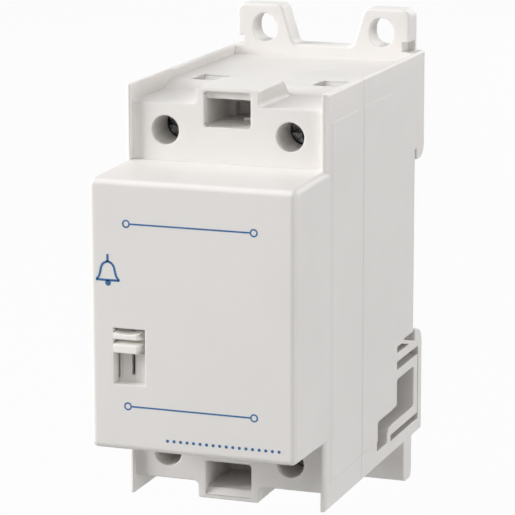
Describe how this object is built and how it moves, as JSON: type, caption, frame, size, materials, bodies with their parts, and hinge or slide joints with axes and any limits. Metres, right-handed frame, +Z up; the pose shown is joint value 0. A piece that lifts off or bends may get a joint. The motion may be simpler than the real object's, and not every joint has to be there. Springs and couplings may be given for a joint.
{
  "type": "doorbell transformer",
  "caption": "Light grey modular bell transformer with stepped nose, slide switch, screw terminals, wall ears and a springy rail foot.",
  "frame": {"origin": "middle of the rail seat, the flat recess at the back between hook and foot", "axes": "+Z up towards the ears, -Y out of the front towards the room, +X to the right"},
  "size_m": [0.0356, 0.0709, 0.087],
  "materials": {
    "housing_plastic": "fine satin, light warm grey",
    "switch_plastic": "fine satin, light warm grey",
    "inner_plastic": "glass-filled nylon, matt",
    "terminal_steel": "bright zinc plated",
    "contact_brass": "rolled, plain",
    "core_steel": "laminated, oiled",
    "winding_copper": "enamelled copper wire",
    "winding_tape": "polyester tape",
    "cutout_metal": "drawn can",
    "print_ink": "pad-printed ink, blue",
    "lead_brown": "extruded insulation",
    "lead_blue": "extruded insulation",
    "lead_white": "extruded insulation"
  },
  "bodies": {
    "housing": {"front_cover": "housing_plastic", "rear_housing": "housing_plastic", "switch_fixed_contacts": "contact_brass", "switch_base": "inner_plastic", "core_e_stack": "core_steel", "core_i_stack": "core_steel", "bobbin": "inner_plastic", "primary_winding": "winding_copper", "secondary_winding": "winding_copper", "primary_tape": "winding_tape", "secondary_tape": "winding_tape", "thermal_cutout": "cutout_metal", "live_lead": "lead_brown", "cutout_lead": "lead_brown", "neutral_lead": "lead_blue", "secondary_lead_left": "lead_white", "secondary_lead_right": "lead_white", "contact_bar_upper_left": "contact_brass", "contact_bar_upper_right": "contact_brass", "contact_bar_lower_left": "contact_brass", "contact_bar_lower_right": "contact_brass"},
    "switch": {"switch_slider": "switch_plastic", "switch_contact_bridge": "contact_brass"},
    "screw_upper_left": {"screw_upper_left": "terminal_steel"},
    "cage_upper_left": {"cage_upper_left": "terminal_steel"},
    "screw_upper_right": {"screw_upper_right": "terminal_steel"},
    "cage_upper_right": {"cage_upper_right": "terminal_steel"},
    "screw_lower_left": {"screw_lower_left": "terminal_steel"},
    "cage_lower_left": {"cage_lower_left": "terminal_steel"},
    "screw_lower_right": {"screw_lower_right": "terminal_steel"},
    "cage_lower_right": {"cage_lower_right": "terminal_steel"}
  },
  "joints": [
    {"name": "switch_slide", "type": "slide", "parent": "housing", "child": "switch", "axis": [0, 0, 1], "range_m": [-0.0044, 0]},
    {"name": "screw_upper_left_turn", "type": "hinge", "parent": "housing", "child": "screw_upper_left", "pos_m": [-0.01095, -0.035, 0.0274], "axis": [0, 1, 0], "range_deg": [0, 2675]},
    {"name": "cage_upper_left_rise", "type": "slide", "parent": "housing", "child": "cage_upper_left", "axis": [0, -1, 0], "range_m": [0, 0.0052]},
    {"name": "screw_upper_right_turn", "type": "hinge", "parent": "housing", "child": "screw_upper_right", "pos_m": [0.01095, -0.035, 0.0274], "axis": [0, 1, 0], "range_deg": [0, 2675]},
    {"name": "cage_upper_right_rise", "type": "slide", "parent": "housing", "child": "cage_upper_right", "axis": [0, -1, 0], "range_m": [0, 0.0052]},
    {"name": "screw_lower_left_turn", "type": "hinge", "parent": "housing", "child": "screw_lower_left", "pos_m": [-0.01095, -0.035, -0.0279], "axis": [0, 1, 0], "range_deg": [0, 2675]},
    {"name": "cage_lower_left_rise", "type": "slide", "parent": "housing", "child": "cage_lower_left", "axis": [0, -1, 0], "range_m": [0, 0.0052]},
    {"name": "screw_lower_right_turn", "type": "hinge", "parent": "housing", "child": "screw_lower_right", "pos_m": [0.01095, -0.035, -0.0279], "axis": [0, 1, 0], "range_deg": [0, 2675]},
    {"name": "cage_lower_right_rise", "type": "slide", "parent": "housing", "child": "cage_lower_right", "axis": [0, -1, 0], "range_m": [0, 0.0052]}
  ],
  "couplings": [
    {"joint": "screw_upper_left_turn", "follows": "cage_upper_left_rise", "rad_per_m": 8976},
    {"joint": "screw_upper_right_turn", "follows": "cage_upper_right_rise", "rad_per_m": 8976},
    {"joint": "screw_lower_left_turn", "follows": "cage_lower_left_rise", "rad_per_m": 8976},
    {"joint": "screw_lower_right_turn", "follows": "cage_lower_right_rise", "rad_per_m": 8976}
  ]
}
